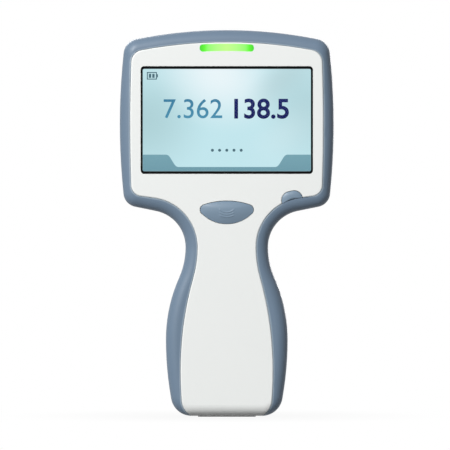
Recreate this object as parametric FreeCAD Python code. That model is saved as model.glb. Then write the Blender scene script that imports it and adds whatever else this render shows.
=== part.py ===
import FreeCAD, Part
import functools
import math
import os

# Handheld blood gas analyzer, in millimetres. +X is the user's right, -Y is the front with the screen
# and +Z is up. The origin is at the middle of the base, on the surface that the feet stand on.

V = FreeCAD.Vector

# Outer outline, seen from the front
height = 247.6
top_radius = 296.0
head_half_width = 68.5
head_widest_z = 187.5
head_side_radius = 430.0
head_corner_radius = 10.0
underside_slope_deg = 11.5
lower_corner_radius = 9.3
neck_half_width = 26.4
neck_z = 108.7
neck_upper_radius = 23.5
grip_half_width = 39.0
grip_z = 49.5
grip_radius_share = 0.667
base_side_radius = 215.0
base_corner_radius = 13.2

# Outline of the white front panel, seen from the front
panel_top_z = 239.75
panel_top_radius = 297.0
panel_half_width = 61.9
panel_side_radius = 1100.0
panel_corner_radius = 8.2
panel_slope_deg = 8.0
panel_lower_corner_radius = 7.2
panel_neck_half_width = 18.8
panel_neck_radius = 31.5
panel_grip_half_width = 29.7
panel_grip_z = 30.0
panel_grip_radius_share = 0.75
panel_base_side_radius = 260.0
panel_base_corner_radius = 12.0
panel_base_drop = 1.2
panel_edge_round = 0.9

# Side profile
front_depth = 35.0
head_back_depth = 3.0
base_back_depth = 35.0
back_curve_top_z = 128.0
back_curve_base_z = 58.0
back_upper_radius_share = 0.45
front_round = 7.2
back_round = 9.0

# Walls and clearances
rail_wall = 2.6
cover_wall = 2.0
panel_wall = 2.4
back_wall = 3.2
rim_height = 3.0
rail_gap = 0.2
groove = 0.1
edge_slack = 0.06
part_gap = 0.1
soft_gap = 0.3
slide_gap = 0.35
shaft_gap = 0.05
overrun = 20.0
parting_depth = 12.0
seal_width = 1.0
least_round = 1.2

# Screen
screen_width = 110.0
screen_height = 68.7
screen_z = 189.9
screen_corner = 2.2
screen_border_side = 1.2
screen_border_top = 1.6
screen_recess = 0.5
light_board_width = 50.0
light_board_height = 8.0
light_post_x = 22.0
light_post_radius = 2.2
gasket_recess = 0.2
glass_thickness = 1.1
display_thickness = 2.8
display_frame_margin = 1.4
display_frame_thickness = 3.0

# Status light
light_bar_width = 34.5
light_bar_height = 4.5
light_bar_top_z = 238.6
light_bar_corner = 1.9
light_bar_flange = 1.0
light_board_thickness = 1.2
led_count = 5
led_size = 2.0
led_height = 1.0

# Scan button, the oval one under the screen
scan_width = 34.0
scan_top_z = 138.1
scan_bottom_z = 123.6
scan_widest_z = 132.6
scan_end_radius = 3.2
scan_proud = 1.1
scan_round = 0.9
scan_travel = 1.0
scan_ridge_width = 9.0
scan_ridge_height = 0.4
scan_ridge_radius = 7.5

# Power button, the domed one beside it
power_x = 41.9
power_z = 138.4
power_tilt_deg = 13.0
power_width = 13.4
power_height = 6.0
power_corner = 5.4
power_skirt = 3.0
power_proud = 0.9
power_round = 0.8
power_travel = 0.8

# Shared by both buttons
cap_thickness = 3.2
stem_radius = 2.2
well_wall = 2.0
well_floor = 1.4
dome_base_radius = 4.2
dome_height = 2.2
button_board_thickness = 1.6
button_post_x = 26.0
button_post_z = 146.0
button_post_radius = 2.2
button_board_width = 94.0
button_board_bottom_z = 119.0
button_board_top_z = 150.0

# Feet and the cartridge port in the base
foot_proud = 0.6
foot_thickness = 1.6
foot_width = 37.0
foot_corner = 3.0
front_foot_near_y = -25.5
front_foot_far_y = -13.5
back_foot_near_y = 13.0
back_foot_far_y = 25.0
slot_width = 29.5
slot_thickness = 6.5
slot_depth = 46.0
guide_wall = 1.6
guide_flange = 5.4
guide_flange_low_z = 22.0
guide_flange_high_z = 38.0
bezel_width = 37.0
bezel_thickness = 13.0
bezel_height = 5.0
bezel_corner = 3.0
funnel = 1.6
corner_share = 0.45
stop_hole_radius = 1.2

# Battery pack and its bay
pack_width = 43.0
pack_bottom_z = 9.5
pack_top_z = 72.0
pack_front_y = 8.4
pack_wall = 1.6
pack_lid_thickness = 1.4
bay_wall = 1.5
cell_radius = 9.0
cell_length = 50.0
cell_pitch = 19.0
pull_width = 16.0
pull_height = 7.0
pull_depth = 2.4
pack_grooves = 5
pack_groove_width = 27.0
pack_groove_height = 1.4
pack_groove_depth = 0.5
pack_groove_pitch = 4.0
pack_groove_low_z = 20.0
contact_count = 4
contact_width = 2.4
contact_height = 7.0
contact_depth = 0.5
contact_pitch = 6.0
contact_z = 66.0
terminal_thickness = 0.6
catch_thickness = 0.5
catch_width = 6.0
catch_length = 12.0
catch_z = 40.0
catch_y = 18.0
catch_reach = 1.2

# Main board and what it carries
main_board_width = 122.0
main_board_bottom_z = 158.0
main_board_top_z = 226.0
main_board_thickness = 1.6
main_board_y = -26.6
board_post_radius = 2.4
board_post_x = 59.0
board_post_low_z = 163.0
board_post_high_z = 217.0
screw_pilot_radius = 0.9
board_screw_length = 4.0
board_screw_head_radius = 2.0
board_screw_head_height = 1.4
shield_width = 34.0
shield_height = 28.0
shield_depth = 2.6
shield_wall = 0.3
shield_x = -22.0
shield_z = 196.0
processor_size = 14.0
processor_height = 1.4
chip_width = 9.0
chip_height = 6.0
chip_depth = 1.2
chip_pitch = 15.0
chip_z = 172.0
chip_count = 4
connector_width = 18.0
connector_height = 4.5
connector_depth = 2.4
display_connector_x = 34.0
display_connector_z = 214.0
base_connector_z = 162.5
radio_width = 16.0
radio_height = 20.0
radio_depth = 2.2
radio_x = 36.0
radio_z = 196.0
coin_radius = 6.25
coin_depth = 2.0
coin_x = 8.0
coin_z = 196.0
ribbon_thickness = 0.3
ribbon_width = 14.0

# Speaker and barcode imager in the head
speaker_radius = 10.0
speaker_depth = 5.0
speaker_magnet_depth = 2.5
speaker_x = 36.0
speaker_z = 160.0
grille_slots = 5
grille_slot_length = 12.0
grille_slot_width = 1.4
grille_pitch = 3.0
imager_width = 24.0
imager_height = 13.0
imager_depth = 11.0
imager_z = 222.0
imager_lens_radius = 3.5
imager_lens_depth = 1.2
window_width = 30.0
window_height = 12.0
window_thickness = 1.5
window_margin = 1.6
window_corner = 3.0
label_width = 62.0
label_height = 30.0
label_corner = 3.0
label_z = 192.0
label_recess = 0.4
label_thickness = 0.25

# Housing screws
boss_radius = 3.8
boss_places = [(54.0, 231.5), (52.0, 145.5), (16.6, 104.0), (27.2, 17.0)]
housing_screw_radius = 1.25
housing_screw_engagement = 7.0
housing_screw_grip = 5.0
housing_head_radius = 2.6
housing_head_height = 2.0
counterbore_radius = 3.0
plug_depth = 1.6

# Cartridge press, driven by a small motor
gear_module = 0.6
pressure_angle_deg = 25.0
addendum_share = 0.8
dedendum_share = 1.1
tooth_play_share = 0.06
pinion_teeth = 10
gear_teeth = 30
rack_pinion_teeth = 10
rack_teeth = 7
rack_teeth_behind = 4
rack_teeth_ahead = 2
gear_side_gap = 0.5
gear_y = -16.0
gear_z = 57.5
gear_width = 3.5
rack_width = 5.0
rack_height = 4.0
axle_radius = 1.0
motor_radius = 6.0
motor_length = 18.0
motor_shaft_radius = 0.75
motor_boss_radius = 2.0
motor_boss_length = 0.8
chassis_width = 45.0
chassis_bottom_z = 8.0
chassis_top_z = 84.0
chassis_thickness = 1.6
chassis_y = -28.2
ear_thickness = 1.5
ear_reach = 19.0
ear_half_height = 4.5
chassis_screw_x = 19.5
chassis_screw_low_z = 12.0
chassis_screw_high_z = 80.0
rod_radius = 1.5
rod_x = 18.6
rod_z = 30.0
carriage_bottom_z = 13.0
carriage_top_z = 46.0
carriage_thickness = 3.0
carriage_y = -19.0
carriage_width = 33.0
carriage_lug = 3.2
block_width = 26.0
block_height = 11.0
block_depth = 6.0
block_z = 38.5
pin_radius = 0.3
pin_columns = 8
pin_rows = 2
pin_pitch = 2.54
pin_length = 4.4
plunger_x = 7.0
plunger_z = 22.0
calibrant_radius = 3.0
sample_radius = 4.0
plunger_tip_gap = 1.0
heater_width = 24.0
heater_height = 11.0
heater_thickness = 0.8
sensor_width = 8.0
sensor_height = 4.0
sensor_depth = 3.0
sensor_x = 14.0
sensor_z = 66.0
switch_width = 6.0
switch_depth = 3.6
switch_height = 2.6
power_board_bottom_z = 54.0
power_board_top_z = 88.0
power_board_width = 32.0
power_board_thickness = 1.2
dock_radius = 1.6
dock_pitch = 6.5
dock_y = 9.6
dock_count = 4


def unit(a, b):
    """Direction from a to b, both (x, z)."""
    length = math.hypot(b[0] - a[0], b[1] - a[1])
    return ((b[0] - a[0]) / length, (b[1] - a[1]) / length)


def circles_meet(c1, r1, c2, r2):
    """The crossing of two circles that lies further right."""
    dx, dz = c2[0] - c1[0], c2[1] - c1[1]
    apart = math.hypot(dx, dz)
    along = (r1 * r1 - r2 * r2 + apart * apart) / (2 * apart)
    side = math.sqrt(r1 * r1 - along * along)
    mx, mz = c1[0] + along * dx / apart, c1[1] + along * dz / apart
    points = [(mx + s * side * dz / apart, mz - s * side * dx / apart) for s in (1, -1)]
    return max(points)


def bow(radius_share, narrow, narrow_z, wide, wide_z):
    """Radii and centres of the hollow arc at the neck and the round arc at the grip that it runs into."""
    rise, run = wide - narrow, narrow_z - wide_z
    total = (rise * rise + run * run) / (2 * rise)
    grip_r = total * radius_share
    neck_r = total - grip_r
    return neck_r, (narrow + neck_r, narrow_z), grip_r, (wide - grip_r, wide_z)


OUTER = {
    "top": height, "top_r": top_radius, "half": head_half_width, "side_r": head_side_radius,
    "corner": head_corner_radius, "slope": underside_slope_deg, "low_corner": lower_corner_radius,
    "neck": neck_half_width, "neck_up_r": neck_upper_radius, "grip": grip_half_width, "grip_z": grip_z,
    "share": grip_radius_share, "base_r": base_side_radius, "base_corner": base_corner_radius,
    "base_z": foot_proud,
}
PANEL = {
    "top": panel_top_z, "top_r": panel_top_radius, "half": panel_half_width, "side_r": panel_side_radius,
    "corner": panel_corner_radius, "slope": panel_slope_deg, "low_corner": panel_lower_corner_radius,
    "neck": panel_neck_half_width, "neck_up_r": panel_neck_radius, "grip": panel_grip_half_width,
    "grip_z": panel_grip_z, "share": panel_grip_radius_share, "base_r": panel_base_side_radius,
    "base_corner": panel_base_corner_radius, "base_z": foot_proud - panel_base_drop,
}


def half_outline(s, inset):
    """Tangent arcs of an outline's right half, from the top middle to the base, drawn in by inset."""
    top_c = (0, s["top"] - s["top_r"])
    side_c = (s["half"] - s["side_r"], head_widest_z)
    corner_c = circles_meet(top_c, s["top_r"] - s["corner"], side_c, s["side_r"] - s["corner"])
    slope = math.radians(s["slope"])
    along = (math.cos(slope), math.sin(slope))
    neck_c = (s["neck"] + s["neck_up_r"], neck_z)
    start = (neck_c[0] - s["neck_up_r"] * along[1], neck_c[1] + s["neck_up_r"] * along[0])
    lifted = (start[0] - along[1] * s["low_corner"], start[1] + along[0] * s["low_corner"])
    reach = s["side_r"] - s["low_corner"]
    off = (lifted[0] - side_c[0], lifted[1] - side_c[1])
    b = off[0] * along[0] + off[1] * along[1]
    k = -b + math.sqrt(b * b - off[0] ** 2 - off[1] ** 2 + reach * reach)
    low_c = (lifted[0] + k * along[0], lifted[1] + k * along[1])
    waist_r, waist_c, grip_r, grip_c = bow(s["share"], s["neck"], neck_z, s["grip"], s["grip_z"])
    base_c = (s["grip"] - s["base_r"], s["grip_z"])
    foot_z = s["base_z"] + s["base_corner"]
    foot_x = base_c[0] + math.sqrt((s["base_r"] - s["base_corner"]) ** 2 - (foot_z - base_c[1]) ** 2)
    foot_c = (foot_x, foot_z)
    up, right, left, down = (0, 1), (1, 0), (-1, 0), (0, -1)
    below, above = (along[1], -along[0]), (-along[1], along[0])
    return [
        (top_c, s["top_r"] - inset, up, unit(top_c, corner_c)),
        (corner_c, s["corner"] - inset, unit(top_c, corner_c), unit(side_c, corner_c)),
        (side_c, s["side_r"] - inset, unit(side_c, corner_c), unit(side_c, low_c)),
        (low_c, s["low_corner"] - inset, unit(side_c, low_c), below),
        (neck_c, s["neck_up_r"] + inset, above, left),
        (waist_c, waist_r + inset, left, unit(waist_c, grip_c)),
        (grip_c, grip_r - inset, unit(grip_c, waist_c), right),
        (base_c, s["base_r"] - inset, right, unit(base_c, foot_c)),
        (foot_c, s["base_corner"] - inset, unit(base_c, foot_c), down),
    ]


def join(edges):
    """One closed wire from edges in any order."""
    return Part.Wire(Part.__sortEdges__(edges))


def outline_face(s, inset, y):
    """The outline as a face at depth y."""
    edges = []
    for side in (1, -1):
        last = None
        for centre, radius, a, b in half_outline(s, inset):
            mid = unit((0, 0), (a[0] + b[0], a[1] + b[1]))
            points = [V(side * (centre[0] + radius * d[0]), y, centre[1] + radius * d[1]) for d in (a,
                                                                                                    mid, b)]
            if last is not None and last.distanceToPoint(points[0]) > Part.Precision.confusion():
                edges.append(Part.LineSegment(last, points[0]).toShape())
            edges.append(Part.Arc(*points).toShape())
            last = points[2]
    edges.append(Part.LineSegment(last, V(-last.x, y, last.z)).toShape())
    return Part.Face(join(edges))


def outline_prism(s, inset, near_y, far_y):
    """The outline run from near_y to far_y."""
    return outline_face(s, inset, near_y).extrude(V(0, far_y - near_y, 0))


def side_prism(inset):
    """The side profile, run right across: flat front, and a back that sweeps out to the base."""
    rise, run = base_back_depth - head_back_depth, back_curve_top_z - back_curve_base_z
    total = (rise * rise + run * run) / (2 * rise)
    upper_r = total * back_upper_radius_share
    lower_r = total - upper_r
    upper_c = (head_back_depth + upper_r, back_curve_top_z)
    lower_c = (base_back_depth - lower_r, back_curve_base_z)
    turn = unit(upper_c, lower_c)
    x = -head_half_width - overrun
    top, bottom = height + overrun, -overrun

    def at(y, z):
        return V(x, y, z)

    def arc(centre, radius, a, b):
        mid = unit((0, 0), (a[0] + b[0], a[1] + b[1]))
        return [at(centre[0] + radius * d[0], centre[1] + radius * d[1]) for d in (a, mid, b)]

    upper = arc(upper_c, upper_r + inset, (-1, 0), turn)
    lower = arc(lower_c, lower_r - inset, (-turn[0], -turn[1]), (1, 0))
    front, head, base = inset - front_depth, head_back_depth - inset, base_back_depth - inset
    runs = [(at(front, bottom), at(front, top)), (at(front, top), at(head, top)),
            (at(head, top), upper[0]),
            (lower[2], at(base, bottom)), (at(base, bottom), at(front, bottom))]
    edges = [Part.LineSegment(a, b).toShape() for a, b in runs]
    edges += [Part.Arc(*upper).toShape(), Part.Arc(*lower).toShape()]
    return Part.Face(join(edges)).extrude(V(2 * (head_half_width + overrun), 0, 0))


def is_front_edge(edge, inset):
    box, y = edge.BoundBox, inset - front_depth
    return max(abs(box.YMin - y), abs(box.YMax - y)) < edge_slack


def is_back_edge(edge, inset):
    """True on the rim round the back, and false on wall seams and on lines straight across the back."""
    box = edge.BoundBox
    if box.YMax < head_back_depth - inset - groove or box.YMin < head_back_depth - inset - groove:
        return False
    way = edge.valueAt(edge.LastParameter) - edge.valueAt(edge.FirstParameter)
    if max(abs(way.x), abs(way.z)) < edge_slack:
        return False
    level = max(abs(way.y), abs(way.z)) < edge_slack and way.Length > foot_width
    return not (level and 2 * groove + inset + foot_proud < box.ZMin < height - inset - head_corner_radius)


@functools.lru_cache(maxsize=None)
def envelope(inset):
    """The rounded body, drawn in by inset all round."""
    body = outline_prism(OUTER, inset, -front_depth - overrun, base_back_depth + overrun)
    body = body.common(side_prism(inset))
    front = [edge for edge in body.Edges if is_front_edge(edge, inset)]
    body = body.makeFillet(max(front_round - inset, least_round), front)
    back = [edge for edge in body.Edges if is_back_edge(edge, inset)]
    return body.makeFillet(max(back_round - inset, least_round), back)


BACKWARD = V(0, 1, 0)
FORWARD = V(0, -1, 0)
RIGHTWARD = V(1, 0, 0)
UPWARD = V(0, 0, 1)

front_y = -front_depth
panel_back_y = front_y + panel_wall
cover_inset = rail_wall + rail_gap + cover_wall
cavity_y = front_y + cover_inset
back_wall_y = head_back_depth - back_wall
split_y = -parting_depth
base_floor_z = foot_proud + back_wall
far_back = base_back_depth + overrun
far_front = front_y - overrun


def block(x0, x1, y0, y1, z0, z1):
    """A box from its low corner to its high corner."""
    return Part.makeBox(x1 - x0, y1 - y0, z1 - z0, V(x0, y0, z0))


def middle_block(width, y0, y1, z0, z1):
    """A box as wide to the left as to the right."""
    return block(-width / 2, width / 2, y0, y1, z0, z1)


def slab(y0, y1):
    """Everything between two depths."""
    return middle_block(2 * (head_half_width + overrun), y0, y1, -overrun, height + overrun)


def plate(width, tall, corner, y0, y1, x, z):
    """A rounded rectangle seen from the front, run from y0 to y1."""
    shape = block(x - width / 2, x + width / 2, y0, y1, z - tall / 2, z + tall / 2)
    edges = [e for e in shape.Edges if abs(e.BoundBox.YLength - (y1 - y0)) < edge_slack]
    return shape.makeFillet(corner, edges)


def round_bar(radius, y0, y1, x, z):
    """A round bar that runs back from y0 to y1."""
    return Part.makeCylinder(radius, y1 - y0, V(x, y0, z), BACKWARD)


def cross_bar(radius, x0, x1, y, z):
    """A round bar that runs right from x0 to x1."""
    return Part.makeCylinder(radius, x1 - x0, V(x0, y, z), RIGHTWARD)


def both_sides(places):
    """The same places on the right and on the left."""
    return [(side * x, z) for x, z in places for side in (1, -1)]


def fused(shapes):
    whole = shapes[0]
    for shape in shapes[1:]:
        whole = whole.fuse(shape)
    return whole.removeSplitter()


def without(shape, tools):
    for tool in tools:
        shape = shape.cut(tool)
    return shape


def front_rounded(shape, y, radius):
    """The shape with the edges of its front face, at depth y, rounded."""
    edges = [e for e in shape.Edges if max(abs(e.BoundBox.YMin - y),
                                           abs(e.BoundBox.YMax - y)) < edge_slack]
    return shape.makeFillet(radius, edges)


# Openings in the front housing, and what fills them

def screen_plate(grow, y0, y1):
    """The screen's outline, grown by grow all round."""
    return plate(screen_width + 2 * grow, screen_height + 2 * grow, screen_corner + grow, y0, y1, 0,
                 screen_z)


def glass_plate(grow, y0, y1):
    """The glass inside the black ring, grown by grow all round."""
    width = screen_width - 2 * screen_border_side + 2 * grow
    tall = screen_height - 2 * screen_border_top + 2 * grow
    return plate(width, tall, screen_corner - screen_border_side + grow, y0, y1, 0, screen_z)


def light_shape(grow, y0, y1):
    """The status light's outline: a strip that follows the arc of the top edge."""
    centre = V(0, y0, height - top_radius)
    outer = light_bar_top_z - centre.z + grow
    ring = Part.makeCylinder(outer, y1 - y0, centre, BACKWARD)
    ring = ring.cut(Part.makeCylinder(outer - light_bar_height - 2 * grow, y1 - y0, centre, BACKWARD))
    window = middle_block(light_bar_width + 2 * grow, y0, y1, screen_z, height)
    strip = ring.common(window)
    edges = [e for e in strip.Edges if abs(e.BoundBox.YLength - (y1 - y0)) < edge_slack
             and abs(e.BoundBox.XMin) > light_bar_width / 2 - groove]
    return strip.makeFillet(light_bar_corner + grow, edges)


def scan_shape(grow, y0, y1):
    """The scan button's outline: a flat arc over a deeper one, with small round ends."""
    end_x = scan_width / 2 - scan_end_radius
    above, below = scan_widest_z - scan_top_z, scan_widest_z - scan_bottom_z
    r = scan_end_radius
    top_r = (r * r - above * above - end_x * end_x) / (2 * (above + r))
    low_r = (below * below + end_x * end_x - r * r) / (2 * (below - r))
    top_c, low_c, end_c = (0, scan_top_z - top_r), (0, scan_bottom_z + low_r), (end_x, scan_widest_z)
    up, down = unit(top_c, end_c), unit(low_c, end_c)

    def at(centre, radius, d, side=1):
        return V(side * (centre[0] + (radius + grow) * d[0]), y0, centre[1] + (radius + grow) * d[1])

    right, left = [Part.Arc(at(end_c, r, up, side), at(end_c, r, (1, 0), side),
                            at(end_c, r, down, side)).toShape()
                   for side in (1, -1)]
    top = Part.Arc(at(end_c, r, up, -1), at(top_c, top_r, (0, 1)), at(end_c, r, up)).toShape()
    low = Part.Arc(at(end_c, r, down, -1), at(low_c, low_r, (0, -1)), at(end_c, r, down)).toShape()
    return Part.Face(join([right, left, top, low])).extrude(V(0, y1 - y0, 0))


def power_shape(grow, y0, y1):
    """The power button's outline: a low dome whose flat side follows the rail's slope."""
    half, low, high = power_width / 2 + grow, -power_skirt - grow, power_height + grow
    top_r, low_r = power_corner + grow, power_round + grow
    corners = [(half, low, low_r, 1, -1), (half, high, top_r, 1, 1), (-half, high, top_r, -1, 1),
               (-half, low, low_r, -1, -1)]
    edges, ends = [], []
    for x, z, r, sx, sz in corners:
        centre = (x - sx * r, z - sz * r)
        beside, beyond = V(x, y0, centre[1]), V(centre[0], y0, z)
        bulge = V(centre[0] + sx * r * math.sqrt(0.5), y0, centre[1] + sz * r * math.sqrt(0.5))
        edges.append(Part.Arc(beside, bulge, beyond).toShape())
        ends.append((beside, beyond) if sx * sz > 0 else (beyond, beside))
    for (_, leave), (arrive, _) in zip(ends, ends[1:] + ends[:1]):
        edges.append(Part.LineSegment(leave, arrive).toShape())
    shape = Part.Face(join(edges)).extrude(V(0, y1 - y0, 0))
    shape.rotate(V(0, 0, 0), FORWARD, power_tilt_deg)
    shape.translate(V(power_x, 0, power_z))
    return shape


def power_cap_shape(grow, y0, y1):
    """The power button's outline, trimmed along the rail's inner edge."""
    return power_shape(grow, y0, y1).common(outline_prism(PANEL, 0, y0, y1))


def power_centre():
    tilt = math.radians(power_tilt_deg)
    half = power_height / 2
    return power_x - half * math.sin(tilt), power_z + half * math.cos(tilt)


def well_floor_y(proud, travel):
    return front_y - proud + cap_thickness + travel + rail_gap


def button_board_y():
    return well_floor_y(scan_proud, scan_travel) + well_floor + dome_height


def button_cap(shape, proud, rounding, centre):
    """A cap with its stem, which reaches the silicone dome behind it."""
    near = front_y - proud
    cap = front_rounded(shape(0, near, near + cap_thickness), near, rounding)
    stem = round_bar(stem_radius, near + cap_thickness, button_board_y() - dome_height, *centre)
    return cap.fuse(stem).removeSplitter()


SCAN_CENTRE = (0, (scan_top_z + scan_bottom_z) / 2)


def scan_button():
    cap = button_cap(scan_shape, scan_proud, scan_round, SCAN_CENTRE)
    near = front_y - scan_proud
    ring = Part.makeTorus(scan_ridge_radius, scan_ridge_height,
                          V(0, near, SCAN_CENTRE[1] + scan_ridge_radius / 2), FORWARD)
    smile = ring.common(middle_block(scan_ridge_width, near - scan_proud, near + scan_ridge_height,
                                     scan_bottom_z, SCAN_CENTRE[1]))
    return cap.fuse(smile).removeSplitter()


def power_button():
    return button_cap(power_cap_shape, power_proud, power_round, power_centre())


def button_dome(centre):
    """A hollow silicone cone between the stem and the board."""
    far = button_board_y()
    cone = Part.makeCone(stem_radius, dome_base_radius, dome_height,
                         V(centre[0], far - dome_height, centre[1]), BACKWARD)
    hollow = Part.makeCone(stem_radius / 2, dome_base_radius - dome_height / 2, dome_height / 2,
                           V(centre[0], far - dome_height / 2, centre[1]), BACKWARD)
    return cone.cut(hollow)


def button_board():
    near = button_board_y()
    board = middle_block(button_board_width, near, near + button_board_thickness, button_board_bottom_z,
                         button_board_top_z)
    board = board.common(envelope(cover_inset + soft_gap))
    holes = [round_bar(screw_pilot_radius + part_gap, near, near + button_board_thickness, x, z)
             for x, z in both_sides([(button_post_x, button_post_z)])]
    return without(board, holes)


def screen_gasket():
    near = front_y + gasket_recess
    far = front_y + screen_recess + glass_thickness
    return screen_plate(0, near, far).cut(glass_plate(0, near, far))


def touch_glass():
    near = front_y + screen_recess
    return glass_plate(-part_gap, near, near + glass_thickness)


def display_panel():
    near = front_y + screen_recess + glass_thickness
    return glass_plate(-part_gap, near, near + display_thickness)


def display_frame():
    """A metal tray that holds the display against the inside of the front housing."""
    glass_back = front_y + screen_recess + glass_thickness
    far = glass_back + display_thickness + display_frame_thickness / 2
    width = screen_width + 2 * display_frame_margin
    tray = plate(width, screen_height + 2 * display_frame_margin, screen_corner, panel_back_y, far, 0,
                 screen_z)
    return tray.cut(glass_plate(0, panel_back_y, glass_back + display_thickness))


def light_bar():
    lens = light_shape(0, front_y, cavity_y)
    flange = light_shape(light_bar_flange, cavity_y, cavity_y + light_bar_flange)
    return lens.fuse(flange).removeSplitter()


def status_leds():
    y = cavity_y + light_bar_flange
    z = light_bar_top_z - light_bar_height / 2
    pitch = light_bar_width / led_count
    return [block(x - led_size / 2, x + led_size / 2, y, y + led_height, z - led_size / 2,
                  z + led_size / 2)
            for x in [pitch * (i - (led_count - 1) / 2) for i in range(led_count)]]


def light_board_z():
    return light_bar_top_z - light_bar_height / 2


def light_board():
    y = cavity_y + light_bar_flange + led_height
    z = light_board_z()
    board = middle_block(light_board_width, y, y + light_board_thickness, z - light_board_height / 2,
                         z + light_board_height / 2)
    holes = [round_bar(screw_pilot_radius + part_gap, y, y + light_board_thickness, x,
                       z) for x in (light_post_x, -light_post_x)]
    return without(board, holes)


# Housings and rail

def boss_posts(y0, y1, radius):
    return [round_bar(radius, y0, y1, x, z) for x, z in both_sides(boss_places)]


def board_posts():
    """Short posts on the front housing that the boards and the press chassis are screwed to."""
    board = [(board_post_x, board_post_low_z), (board_post_x, board_post_high_z)]
    posts = [round_bar(board_post_radius, cavity_y - cover_wall, main_board_y, x, z) for x,
             z in both_sides(board)]
    chassis = [(chassis_screw_x, chassis_screw_low_z), (chassis_screw_x, chassis_screw_high_z)]
    posts += [round_bar(board_post_radius, front_y + cover_wall, chassis_y, x, z) for x,
              z in both_sides(chassis)]
    button = [(button_post_x, button_post_z)]
    posts += [round_bar(button_post_radius, panel_back_y - part_gap, button_board_y(), x, z) for x,
              z in both_sides(button)]
    light_y = cavity_y + light_bar_flange + led_height
    posts += [round_bar(light_post_radius, cavity_y - cover_wall, light_y, x, light_board_z())
              for x in (light_post_x, -light_post_x)]
    return posts


def screw_places():
    """Each small screw's seat depth and place: boards first, then the press chassis."""
    light_y = cavity_y + light_bar_flange + led_height + light_board_thickness
    board = [(board_post_x, board_post_low_z), (board_post_x, board_post_high_z)]
    seats = [(main_board_y + main_board_thickness, x, z) for x, z in both_sides(board)]
    seats += [(button_board_y() + button_board_thickness, x, z) for x,
              z in both_sides([(button_post_x, button_post_z)])]
    seats += [(light_y, x, light_board_z()) for x in (light_post_x, -light_post_x)]
    return seats


def chassis_screw_places():
    chassis = [(chassis_screw_x, chassis_screw_low_z), (chassis_screw_x, chassis_screw_high_z)]
    return [(chassis_y + chassis_thickness, x, z) for x, z in both_sides(chassis)]


def small_screw(seat, x, z):
    """A pan-head screw that goes in towards the front."""
    shank = round_bar(screw_pilot_radius, seat - board_screw_length, seat, x, z)
    head = round_bar(board_screw_head_radius, seat, seat + board_screw_head_height, x, z)
    return shank.fuse(head)


def foot(y0, y1):
    corner = foot_corner
    shape = middle_block(foot_width, y0, y1, 0, foot_thickness)
    edges = [e for e in shape.Edges if abs(e.BoundBox.ZLength - foot_thickness) < edge_slack]
    return shape.makeFillet(corner, edges)


def base_feet():
    return [foot(front_foot_near_y, front_foot_far_y), foot(back_foot_near_y, back_foot_far_y)]


def runs_back(face, point):
    """True for a face that is a side wall at the point, square to the front."""
    return abs(face.normalAt(*face.Surface.parameter(point)).y) < edge_slack


def panel_body():
    """The panel that shows, through the whole depth of the front, with its outer edge rounded."""
    body = envelope(0).common(outline_prism(PANEL, 0, far_front, split_y))
    rim = []
    for edge in body.Edges:
        middle = edge.valueAt((edge.FirstParameter + edge.LastParameter) / 2)
        walls = [runs_back(face, middle) for face in body.ancestorsOfType(edge, Part.Face)]
        if walls.count(True) == 1 and middle.y < split_y - seal_width:
            rim.append(edge)
    return body.makeFillet(panel_edge_round, rim)


def front_housing():
    """The white cover: the panel that shows, and a wall that runs back inside the rail."""
    body = panel_body()
    body = body.fuse(envelope(rail_wall + rail_gap).common(slab(far_front, split_y)))
    wells = [scan_shape(slide_gap + well_wall, panel_back_y, well_floor_y(scan_proud,
                                                                          scan_travel) + well_floor),
             power_shape(slide_gap + well_wall, panel_back_y,
                         well_floor_y(power_proud, power_travel) + well_floor)]
    kept = wells + boss_posts(panel_back_y, split_y, boss_radius) + board_posts()
    pocket = outline_prism(PANEL, cover_inset, panel_back_y, cavity_y + part_gap)
    pocket = pocket.common(middle_block(2 * head_half_width, far_front, split_y, chassis_screw_low_z,
                                        height))
    body = body.cut(without(envelope(cover_inset), kept)).cut(without(pocket, kept))
    openings = [screen_plate(part_gap, far_front, panel_back_y),
                glass_plate(0, panel_back_y, cavity_y),
                light_shape(part_gap, far_front, cavity_y),
                scan_shape(slide_gap, far_front, well_floor_y(scan_proud, scan_travel)),
                power_shape(slide_gap, far_front, well_floor_y(power_proud, power_travel)),
                foot(front_foot_near_y, front_foot_far_y)]
    openings += [round_bar(stem_radius + slide_gap, far_front, split_y, *c) for c in (SCAN_CENTRE,
                                                                                      power_centre())]
    openings += boss_posts(split_y - housing_screw_engagement, split_y, housing_screw_radius)
    openings += [small_screw(*place) for place in screw_places() + chassis_screw_places()]
    return without(body, openings).removeSplitter()


def side_rail():
    """The soft band round the edge, bonded over the front housing's wall."""
    band = envelope(0).cut(envelope(rail_wall)).common(slab(far_front, split_y - groove))
    return band.cut(outline_prism(PANEL, -groove, far_front, split_y))


def bay_block(grow, near_y):
    """The space of the battery pack, grown by grow at its sides."""
    return middle_block(pack_width + 2 * grow, near_y, far_back, pack_bottom_z - grow, pack_top_z + grow)


def terminal_slots(grow, y0, y1):
    pitch = contact_pitch
    half = terminal_thickness / 2 + grow
    return [block(x - half, x + half, y0, y1, contact_z - contact_height / 2 + contact_depth - grow,
                  contact_z + contact_height / 2 - contact_depth + grow)
            for x in [pitch * (i - (contact_count - 1) / 2) for i in range(contact_count)]]


def catch_plate(side, depth):
    x0 = side * (pack_width / 2 + slide_gap)
    x1 = x0 + side * depth
    return block(min(x0, x1), max(x0, x1), catch_y - catch_length / 2, catch_y + catch_length / 2,
                 catch_z - catch_width / 2, catch_z + catch_width / 2)


def dock_bars(y_shift, z0, z1):
    """Round contacts in the base, in a row."""
    return [Part.makeCylinder(dock_radius, z1 - z0, V(x, dock_y + y_shift, z0), UPWARD)
            for x in [dock_pitch * (i - (dock_count - 1) / 2) for i in range(dock_count)]]


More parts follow.
